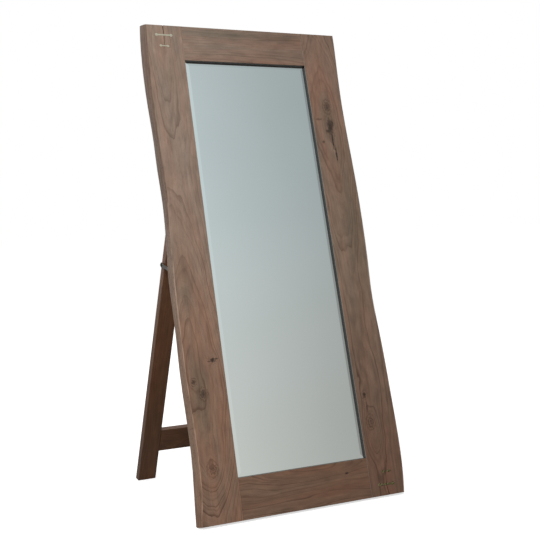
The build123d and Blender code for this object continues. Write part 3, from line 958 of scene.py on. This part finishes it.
@dataclass(frozen=True)
class Metal:
    """A metal finish, brushed across the object and tarnished in spots.

    Attributes:
        name: The material's name.
        bright: The colour where the metal is clean.
        dull: The colour where it is tarnished.
        tarnish: How much of it is tarnished, from 0 to 1.
        roughness: How rough the clean metal is.
        spots: The pattern of the tarnish.
        clean_to: Up to which value of that pattern the metal is clean at no tarnish.
        tarnish_reach: How far full tarnish lowers that value.
        spot_edge: Over what part of the pattern a spot's edge fades.
        scratches: The pattern of the brushed scratches, which also makes the roughness uneven.
        tarnish_rough: How much rougher the tarnish is.
        relief: The depth of the scratches.
        relief_strength: How much of their effect is taken.
    """

    name: str
    bright: Colour
    dull: Colour
    tarnish: float
    roughness: float
    spots: Blotches = Blotches((3.5, 3.5, 3.5), detail=4.0)
    clean_to: float = 0.62
    tarnish_reach: float = 0.4
    spot_edge: float = 0.25
    scratches: Blotches = Blotches((9.0, 0.25, 0.25), 0.2)
    tarnish_rough: float = 0.18
    relief: float = 0.06
    relief_strength: float = 0.6

    def build(self) -> bpy.types.Material:
        """Make the metal's material.

        Returns:
            The material.
        """
        graph = ShaderGraph.of_material(self.name)
        place = graph.object_place()
        low = self.clean_to - self.tarnish_reach * self.tarnish
        dulled = graph.between(graph.noise(place, self.spots), low, low + self.spot_edge)
        scratches = graph.noise(place, self.scratches)
        brushed = graph.sway(scratches, self.scratches.strength, self.roughness)
        return graph.finish(
            Base_Color=graph.blend(dulled, self.bright, self.dull),
            Roughness=graph.math("MULTIPLY_ADD", dulled, self.tarnish_rough, brushed),
            Metallic=1.0,
            Normal=graph.bump(scratches, self.relief, self.relief_strength),
        )


@dataclass(frozen=True)
class SilveredGlass:
    """The finish of the mirror: silver behind clear glass, with a faint bloom of dust.

    Attributes:
        name: The material's name.
        silver: The colour of a clean reflection.
        dust: The colour where a faint bloom has settled.
        speck: The colour of the few small specks on the glass.
        bloom: The pattern of the bloom.
        specks: The pattern of the specks.
        clean_rough: How rough the clean glass is.
        bloom_rough: How much rougher the bloom is.
    """

    name: str = "silvered_glass"
    silver: Colour = shade(246, 249, 248)
    dust: Colour = shade(243, 246, 245)
    speck: Colour = shade(150, 150, 146)
    bloom: Blotches = Blotches((420.0, 420.0, 300.0), detail=1.0, shows=(0.3, 0.8))
    specks: Blotches = Blotches((5.0, 5.0, 5.0), 0.12, 1.0, shows=(0.8, 0.86))
    clean_rough: float = 0.004
    bloom_rough: float = 0.012

    def build(self) -> bpy.types.Material:
        """Make the mirror's material.

        Returns:
            The material.
        """
        graph = ShaderGraph.of_material(self.name)
        place = graph.object_place()
        bloom = graph.blotch(place, self.bloom)
        colour = graph.blend(bloom, self.silver, self.dust)
        return graph.finish(
            Base_Color=graph.spot(place, self.specks, colour, self.speck),
            Roughness=graph.math("MULTIPLY_ADD", bloom, self.bloom_rough, self.clean_rough),
            Metallic=1.0,
        )


@dataclass(frozen=True)
class Fibreboard:
    """The finish of the backing board: smooth brown pressed fibres with small flecks.

    Attributes:
        name: The material's name.
        brown: The board's main colour.
        fleck: The colour of its flecks.
        flecks: The pattern of the flecks.
        clouds: The pattern of the darker clouds.
        roughness: How rough the board is.
        ior: Its index of refraction.
        relief: The height of the flecks.
        relief_strength: How much of their effect is taken.
    """

    name: str = "fibreboard"
    brown: Colour = shade(122, 92, 66)
    fleck: Colour = shade(86, 62, 43)
    flecks: Blotches = Blotches((2.2, 2.2, 2.2), 0.5, 4.0, 1.0, (0.52, 0.72))
    clouds: Blotches = Blotches((160.0, 160.0, 160.0), 0.45, 3.0)
    roughness: float = 0.7
    ior: float = 1.45
    relief: float = 0.12
    relief_strength: float = 0.6

    def build(self) -> bpy.types.Material:
        """Make the board's material.

        Returns:
            The material.
        """
        graph = ShaderGraph.of_material(self.name)
        place = graph.object_place()
        flecks = graph.blotch(place, self.flecks)
        share = graph.math("MULTIPLY", flecks, self.flecks.strength)
        share = graph.math("MULTIPLY_ADD", graph.noise(place, self.clouds), self.clouds.strength, share)
        return graph.finish(
            Base_Color=graph.blend(share, self.brown, self.fleck),
            Roughness=self.roughness,
            IOR=self.ior,
            Normal=graph.bump(flecks, self.relief, self.relief_strength),
        )


@dataclass(frozen=True)
class Rubber:
    """The finish of the setting blocks: dull dark rubber with a fine moulded grain.

    Attributes:
        name: The material's name.
        black: The rubber's colour.
        bloom: The colour of the pale bloom on it.
        grain: The pattern of the moulded grain.
        clouds: The pattern of the bloom.
        roughness: How rough the rubber is.
        ior: Its index of refraction.
        relief: The height of the grain.
        relief_strength: How much of its effect is taken.
    """

    name: str = "block_rubber"
    black: Colour = shade(38, 38, 40)
    bloom: Colour = shade(66, 65, 64)
    grain: Blotches = Blotches((0.6, 0.6, 0.6))
    clouds: Blotches = Blotches((14.0, 14.0, 14.0), detail=3.0, shows=(0.45, 0.75))
    roughness: float = 0.75
    ior: float = 1.5
    relief: float = 0.1
    relief_strength: float = 0.7

    def build(self) -> bpy.types.Material:
        """Make the rubber's material.

        Returns:
            The material.
        """
        graph = ShaderGraph.of_material(self.name)
        place = graph.object_place()
        return graph.finish(
            Base_Color=graph.spot(place, self.clouds, self.black, self.bloom),
            Roughness=self.roughness,
            IOR=self.ior,
            Normal=graph.bump(graph.noise(place, self.grain), self.relief, self.relief_strength),
        )


def dress(nodes: dict[str, bpy.types.Object], names: list[str], finish: bpy.types.Material) -> None:
    """Give the named CAD nodes a finish.

    Args:
        nodes: The frame's nodes by name.
        names: The nodes to dress.
        finish: Their material.
    """
    for name in names:
        node = nodes[name]
        if not node.material_slots:
            node.data.materials.append(finish)
        for slot in node.material_slots:
            slot.material = finish
        LOG.info("%s: %s", name, finish.name)


def both_hands(*names: str) -> list[str]:
    """Return the left-hand and right-hand names of pieces that come in pairs."""
    return [f"{hand}_{name}" for name in names for hand in ("left", "right")]


@dataclass
class MirrorFrame:
    """The timber frame of four boards, with its brass stitches.

    Attributes:
        nodes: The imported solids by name.
        lean: How far the frame leans back, in degrees.
        thickness: The boards' thickness, in metres.
        floor_flat: The level flat along the bottom back edge, in metres.
        half_opening: Half the opening's width.
        opening_bottom: The opening's lower edge up the face.
        opening_top: The opening's upper edge up the face.
    """

    nodes: dict[str, bpy.types.Object]
    lean: float = 16.7
    thickness: float = 0.040
    floor_flat: float = 0.010
    half_opening: float = 245.5
    opening_bottom: float = 139.0
    opening_top: float = 1663.0

    def face(self, turn: float = 0.0) -> BoardPlane:
        """Find the frame's front face.

        Args:
            turn: How far the grain is turned from up the face, in degrees.

        Returns:
            The face's plane.
        """
        lean = radians(self.lean)
        origin = Vector((
            0.0,
            self.floor_flat * cos(2 * lean) / 2 - self.thickness * cos(lean),
            self.thickness * sin(lean) - self.floor_flat * sin(lean) * cos(lean),
        ))
        return BoardPlane(origin, self.lean, turn)

    def left_stile(self) -> Timber:
        """Return the left stile's finish: tall nested arches beside the live edge."""
        return Timber(
            "left_stile_timber",
            FRAME_TIMBER,
            self.face(),
            GrowthRings(-352.0, 0.0, 60.0, 8.0),
            seed=11.0,
            swells=(
                Swell(-345, 500, 420, 400, 84),
                Swell(-335, 190, 60, 90, 22),
                Swell(-400, -20, 160, 150, -34),
                Swell(-318, 1700, 30, 130, 26),
                Swell(-262, 1500, 60, 210, 24),
                Swell(-340, 1230, 34, 150, -20),
                Swell(-400, 1400, 44, 220, -16),
                Knot(-284, 542, 10, 9, 10, 0.95, 0.5),
                Knot(-271, 546, 9, 3, 2, 0.8, 0.0),
                Knot(-298, 539, 8, 3, 2, 0.75, 0.0),
                Knot(-361, 474, 7, 9, 4, 0.65, 0.95),
                Knot(-331, 431, 10, 15, 5, 0.6, 0.95),
                Knot(-331, 181, 13, 18, 14, 0.3, 0.7),
                Knot(-388, 372, 7, 8, 4, 0.85, 0.0),
            ),
            stains=(
                Stain(-340, 430, 32, 130, 0.7),
                Stain(-350, 820, 30, 160, 0.4),
                Stain(-300, 1590, 40, 90, 0.35),
                Stain(-385, 1480, 14, 150, 0.3),
            ),
            # Partly the board's own tone and partly painted light: lighter and greyer towards the top, a
            # painted sheen on the key lamp's side, and darker and redder at the bottom, painted shade.
            tints=(
                (0.0, (1.05, 0.87, 0.74, 1.0)),
                (330.0, (1.12, 0.99, 0.88, 1.0)),
                (1300.0, (1.15, 1.18, 1.2, 1.0)),
            ),
            figure=((560.0, grey(1.35)), (1150.0, grey(0.72))),
            live_edge=LiveEdge(Side.LOW),
            opening=Opening(-self.half_opening, Side.HIGH),
        )

    def right_stile(self) -> Timber:
        """Return the right stile's finish: a long dark knot streak in its upper part."""
        return Timber(
            "right_stile_timber",
            FRAME_TIMBER,
            self.face(),
            GrowthRings(300.0, 0.0, 62.0, 8.4),
            seed=47.0,
            swells=(
                Swell(300, 1400, 420, 330, 52),
                Swell(288, 210, 55, 90, 20),
                Swell(400, 120, 90, 260, -22),
                Knot(315, 1491, 12, 20, 12, 0.4, 0.9),
                Knot(315, 1408, 13, 34, 10, 0.85, 0.6),
                Knot(303, 1388, 10, 9, 3, 0.8, 0.3),
                Knot(326, 1420, 7, 18, 3, 0.75, 0.3),
                Knot(317, 1350, 4.5, 44, 2, 0.9, 0.0),
                Knot(324, 1296, 4.0, 40, 2, 0.95, 0.0),
                Knot(277, 1344, 7, 6, 3, 0.7, 0.4),
                Knot(271, 1438, 16, 4, 3, 0.5, 0.5),
                Knot(278, 362, 8, 11, 8, 0.85, 0.8),
                Knot(281, 318, 3.5, 34, 2, 0.55, 0.0),
                Knot(286, 262, 11, 19, 10, 0.15, 0.9),
            ),
            stains=(
                Stain(350, 1010, 40, 260, 0.6),
                Stain(312, 1440, 26, 90, 0.6),
            ),
            # Partly the board's own tone and partly painted shade: much darker at the bottom.
            tints=(
                (0.0, (0.72, 0.55, 0.46, 1.0)),
                (900.0, (0.97, 0.93, 0.87, 1.0)),
                (1700.0, (0.97, 0.88, 0.83, 1.0)),
            ),
            figure=((400.0, grey(1.2)), (900.0, grey(0.95))),
            live_edge=LiveEdge(Side.HIGH),
            # Strong painted sheen on this inner face, which faces the key lamp.
            opening=Opening(self.half_opening, Side.LOW, 0.8),
        )

    def top_rail(self) -> Timber:
        """Return the top rail's finish: straight dark lines above a low arch."""
        return Timber(
            "top_rail_timber",
            FRAME_TIMBER,
            self.face(90.0),
            GrowthRings(0.0, 1640.0, 44.0, 7.4),
            seed=83.0,
            swells=(
                Swell(-83, 1668, 42, 190, 26),
                Swell(190, 1700, 40, 150, 12),
            ),
            stains=(Stain(-40, 1776, 14, 330, 0.6),),
            # Partly the board's own tone and partly painted light: lighter and greyer at the left end, a
            # painted sheen on the key lamp's side, and darker at the right end, painted shade.
            tints=(
                (-250.0, (1.05, 1.08, 1.1, 1.0)),
                (250.0, (0.9, 0.82, 0.78, 1.0)),
            ),
            figure=even(0.65),
            opening=Opening(-self.opening_top, Side.HIGH),
        )

    def bottom_rail(self) -> Timber:
        """Return the bottom rail's finish: nested bowls under the opening, and a small knot."""
        return Timber(
            "bottom_rail_timber",
            FRAME_TIMBER,
            self.face(90.0),
            GrowthRings(0.0, 152.0, 52.0, 8.2),
            seed=131.0,
            swells=(
                Swell(40, 140, 50, 130, 30),
                Swell(-230, 120, 60, 90, -14),
                Knot(160, 97, 5, 8, 5, 0.9, 0.2),
            ),
            # Partly the board's own tone and partly painted shade: darker than the stiles, and darkest at
            # the right end.
            tints=(
                (-250.0, (0.87, 0.71, 0.59, 1.0)),
                (250.0, (0.72, 0.57, 0.46, 1.0)),
            ),
            figure=even(1.2),
            opening=Opening(-self.opening_bottom, Side.LOW),
        )

    def build(self) -> None:
        """Dress the four boards and the stitches."""
        boards = {
            "left_stile": self.left_stile(),
            "right_stile": self.right_stile(),
            "top_rail": self.top_rail(),
            "bottom_rail": self.bottom_rail(),
        }
        for name, finish in boards.items():
            dress(self.nodes, [name], finish.build())
        pale_brass = Metal("pale_brass", shade(240, 228, 204), shade(184, 170, 134), 0.15, 0.38)
        dark_brass = Metal("dark_brass", shade(166, 154, 112), shade(64, 57, 38), 0.6, 0.42)
        dress(self.nodes, ["top_long_stitch", "top_short_stitch"], pale_brass.build())
        dress(self.nodes, ["bottom_long_stitch", "bottom_short_stitch"], dark_brass.build())


@dataclass
class Glazing:
    """The mirror glass with what holds it in its rebate.

    Attributes:
        nodes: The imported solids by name.
    """

    nodes: dict[str, bpy.types.Object]

    def build(self) -> None:
        """Dress the glass, its setting blocks, the backing board and its screws."""
        steel = Metal("plated_steel", shade(176, 176, 172), shade(120, 118, 112), 0.3, 0.36)
        dress(self.nodes, ["mirror_glass"], SilveredGlass().build())
        dress(self.nodes, ["setting_blocks"], Rubber().build())
        dress(self.nodes, ["backing_board"], Fibreboard().build())
        dress(self.nodes, ["backing_screws"], steel.build())


@dataclass
class FoldingStand:
    """The easel stand: two splayed legs, a crossbar and the hardware that joins it to the frame.

    Attributes:
        nodes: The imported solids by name.
        lean: How far the stand leans, in degrees; it rises towards the front.
        splay: How far each leg is turned outwards in the stand's plane, in degrees.
        leg_pith: How far from the middle a leg's pith lies.
        bar_pith: How far up the stand the crossbar's pith lies.
        pith_depth: How far behind the boards' faces their piths lie.
        ring_spacing: How far apart their rings are.
        low_tint: What the timber's colour is multiplied with near the floor.
        high_tint: What it is multiplied with at the legs' upper ends.
        tint_length: How far up the stand the high tint is reached.
    """

    nodes: dict[str, bpy.types.Object]
    lean: float = -10.8
    splay: float = 5.98
    leg_pith: float = 310.0
    bar_pith: float = 20.0
    pith_depth: float = 74.0
    ring_spacing: float = 3.4
    low_tint: Colour = (1.12, 0.95, 0.82, 1.0)
    high_tint: Colour = (1.75, 1.52, 1.4, 1.0)
    tint_length: float = 900.0

    def timber(self, name: str, turn: float, pith: Pair, seed: float, high_tint: Colour) -> Timber:
        """Return the finish of one board of the stand.

        Args:
            name: The material's name.
            turn: How far its grain is turned from up the stand, in degrees.
            pith: The pith's place across and up the stand's face.
            seed: How far its patterns are shifted.
            high_tint: What the colour at the far end of its grain is multiplied with.

        Returns:
            The finish.
        """
        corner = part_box("stand_crossbar")[0]
        plane = BoardPlane(Vector((0.0, corner.y, corner.z)), self.lean, turn)
        rings = GrowthRings(*pith, self.pith_depth, self.ring_spacing)
        tints = ((0.0, self.low_tint), (self.tint_length, high_tint))
        return Timber(name, STAND_TIMBER, plane, rings, seed, tints)

    def build(self) -> None:
        """Dress the timber and the hardware."""
        left = self.timber("left_leg_timber", self.splay, (-self.leg_pith, 0.0), 171.0, self.high_tint)
        right = self.timber("right_leg_timber", -self.splay, (self.leg_pith, 0.0), 211.0, self.high_tint)
        bar = self.timber("crossbar_timber", 90.0, (0.0, self.bar_pith), 263.0, self.low_tint)
        for name, finish in (("left_leg", left), ("right_leg", right), ("stand_crossbar", bar)):
            dress(self.nodes, [name], finish.build())
        hinge_steel = Metal("hinge_steel", shade(150, 148, 140), shade(96, 92, 84), 0.35, 0.38)
        stay_steel = Metal("stay_steel", shade(120, 118, 112), shade(72, 68, 62), 0.4, 0.36)
        hinge_nodes = both_hands(
            "frame_leaf", "frame_leaf_screws", "stand_leaf", "stand_leaf_screws", "hinge_pin"
        )
        stay_nodes = both_hands(
            "stay_bracket", "stay_bracket_screws", "stay_pivot", "stay_arm", "stay_post"
        )
        dress(self.nodes, hinge_nodes, hinge_steel.build())
        dress(self.nodes, stay_nodes, stay_steel.build())


@dataclass(frozen=True)
class Lamp:
    """A soft square lamp.

    Attributes:
        name: Its name.
        place: Its place from the object's middle, in metres.
        aim: The point that it faces, from the object's middle, in metres.
        size: Its side, in metres.
        power: Its power, in watts.
    """

    name: str
    place: tuple[float, float, float]
    aim: tuple[float, float, float]
    size: float
    power: float

    def build(self, middle: Vector) -> None:
        """Set the lamp up.

        Args:
            middle: The object's middle.
        """
        data = bpy.data.lights.new(self.name, "AREA")
        data.size = self.size
        data.energy = self.power
        lamp = bpy.data.objects.new(self.name, data)
        bpy.context.scene.collection.objects.link(lamp)
        lamp.visible_glossy = False
        place = middle + Vector(self.place)
        lamp.location = place
        lamp.rotation_mode = "QUATERNION"
        lamp.rotation_quaternion = (middle + Vector(self.aim) - place).to_track_quat("-Z", "Y")


@dataclass(frozen=True)
class Room:
    """What polished surfaces reflect: white behind, and a pale grey room in front.

    Attributes:
        fall: How the room darkens towards +X, as (x of the direction, level).
        rise_from: Above which z of the direction it darkens towards the top as well.
        rise_slant: How much that z counts against the x.
        low: The room's tint near the ground.
        high: Its tint higher up.
        tint_rise: Between which z of the direction the tint changes.
        white_from: Between which y of the direction the room turns white.
    """

    fall: tuple[Pair, ...] = (
        (0.0, 0.72),
        (0.17, 0.67),
        (0.3, 0.64),
        (0.34, 0.61),
        (0.39, 0.535),
        (0.44, 0.465),
        (0.6, 0.29),
        (1.0, 0.22),
    )
    rise_from: float = 0.45
    rise_slant: float = 0.34
    low: Colour = (0.91, 0.93, 0.89, 1.0)
    high: Colour = (0.87, 0.98, 1.0, 1.0)
    tint_rise: Pair = (0.2, 0.6)
    white_from: Pair = (-0.25, 0.15)

    def colour(self, graph: ShaderGraph) -> Socket:
        """Add the room's colours.

        Args:
            graph: The world's node tree.

        Returns:
            The colour for the looked-at direction.
        """
        direction = graph.add("ShaderNodeTexCoord").outputs["Generated"]
        parts = graph.add("ShaderNodeSeparateXYZ", Vector=direction).outputs
        rise = graph.math("MAXIMUM", graph.math("SUBTRACT", parts["Z"], self.rise_from), 0.0)
        aside = graph.math("MULTIPLY_ADD", rise, self.rise_slant, parts["X"])
        tint = graph.blend(graph.between(parts["Z"], *self.tint_rise), self.low, self.high)
        front = graph.tint(graph.ramp(aside, self.fall), tint)
        return graph.blend(graph.between(parts["Y"], *self.white_from), front, WHITE)


@dataclass
class Studio:
    """The camera, the lamps, the world and the floor.

    Attributes:
        camera_place: The camera's place, in metres.
        yaw: How far the view is turned from +Y towards +X, in degrees.
        pitch: How far it looks up, in degrees.
        roll: How far the camera is rolled, in degrees.
        lens: The focal length.
        sensor: The sensor's width.
        lamps: The lamps.
        ambient: The strength of the world's light on matt surfaces.
        room: What polished surfaces reflect.
        floor_half: Half the floor's side, in metres.
        floor_bounce: The colour of the floor where it lights the object.
        floor_shadowed: The part of the floor's own colour that a shadow darkens.
        floor_glow: The part of the floor's brightness that it keeps in shadow.
    """

    camera_place: tuple[float, float, float] = (-1.21793, -2.61703, 1.03644)
    yaw: float = 22.90
    pitch: float = -4.02
    roll: float = -1.5
    lens: float = 56.525
    sensor: float = 36.0
    lamps: tuple[Lamp, ...] = (
        Lamp("key", (-1.5, -1.9, 1.9), (0.0, 0.0, 0.2), 1.3, 46.0),
        Lamp("fill", (3.4, -1.6, 0.8), (0.0, 0.0, 0.0), 2.6, 12.0),
        Lamp("back", (0.8, 3.6, 2.2), (0.0, 0.0, 0.0), 2.8, 44.0),
    )
    ambient: float = 0.46
    room: Room = Room()
    floor_half: float = 30.0
    floor_bounce: Colour = grey(0.45)
    floor_shadowed: Colour = grey(0.8)
    floor_glow: float = 0.65

    def camera(self) -> None:
        """Set the camera up at the photograph's viewing angle."""
        data = bpy.data.cameras.new("camera")
        data.lens = self.lens
        data.sensor_width = self.sensor
        camera = bpy.data.objects.new("camera", data)
        bpy.context.scene.collection.objects.link(camera)
        yaw, pitch, roll = radians(self.yaw), radians(self.pitch), radians(self.roll)
        forward = Vector((sin(yaw) * cos(pitch), cos(yaw) * cos(pitch), sin(pitch)))
        level = Vector((cos(yaw), -sin(yaw), 0.0))
        upright = level.cross(forward)
        right = level * cos(roll) + upright * sin(roll)
        up = upright * cos(roll) - level * sin(roll)
        turned = Matrix((right, up, -forward)).transposed()
        camera.matrix_world = Matrix.Translation(self.camera_place) @ turned.to_4x4()
        bpy.context.scene.camera = camera

    def world(self) -> None:
        """Make the world: even light on matt surfaces, a white backdrop, a dim room in mirrors."""
        graph = ShaderGraph(bpy.data.worlds.new("studio"))
        bpy.context.scene.world = graph.owner
        path = graph.add("ShaderNodeLightPath").outputs
        polished = graph.math("MAXIMUM", path["Is Glossy Ray"], path["Is Transmission Ray"])
        colour = graph.blend(polished, grey(self.ambient), self.room.colour(graph))
        colour = graph.blend(path["Is Camera Ray"], colour, WHITE)
        background = graph.add("ShaderNodeBackground", Color=colour, Strength=1.0)
        graph.add("ShaderNodeOutputWorld", Surface=background.outputs[0])

    def floor(self) -> None:
        """Lay a pale floor that keeps the object's shadow."""
        mesh = bpy.data.meshes.new("floor")
        half = self.floor_half
        corners = [(-half, -half, 0), (half, -half, 0), (half, half, 0), (-half, half, 0)]
        mesh.from_pydata(corners, [], [(0, 1, 2, 3)])
        floor = bpy.data.objects.new("floor", mesh)
        bpy.context.scene.collection.objects.link(floor)
        graph = ShaderGraph.of_material("pale_floor")
        matt = graph.add("ShaderNodeBsdfDiffuse", Color=self.floor_bounce)
        shadowed = graph.add("ShaderNodeBsdfDiffuse", Color=self.floor_shadowed)
        glow = graph.add("ShaderNodeEmission", Color=WHITE, Strength=self.floor_glow)
        seen = graph.add("ShaderNodeAddShader")
        mixed = graph.add("ShaderNodeMixShader")
        camera_ray = graph.add("ShaderNodeLightPath").outputs["Is Camera Ray"]
        graph.feed(seen.inputs, (shadowed.outputs[0], glow.outputs[0]))
        graph.feed(mixed.inputs, (camera_ray, matt.outputs[0], seen.outputs[0]))
        graph.add("ShaderNodeOutputMaterial", Surface=mixed.outputs[0])
        mesh.materials.append(graph.owner)
        floor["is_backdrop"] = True

    def build(self) -> None:
        """Set up the camera, the lamps, the world and the floor."""
        low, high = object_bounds()
        self.camera()
        for lamp in self.lamps:
            lamp.build((low + high) / 2)
        self.world()
        self.floor()
        bpy.context.scene.view_settings.view_transform = "Standard"


def main() -> None:
    """Build and dress every part of the mirror, then the studio round it."""
    logging.basicConfig(level=logging.INFO, format="%(name)s: %(message)s")
    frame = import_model()
    nodes = frame["nodes"]
    for part in (MirrorFrame(nodes), Glazing(nodes), FoldingStand(nodes)):
        part.build()
    Studio().build()


if __name__ == "__main__":
    main()
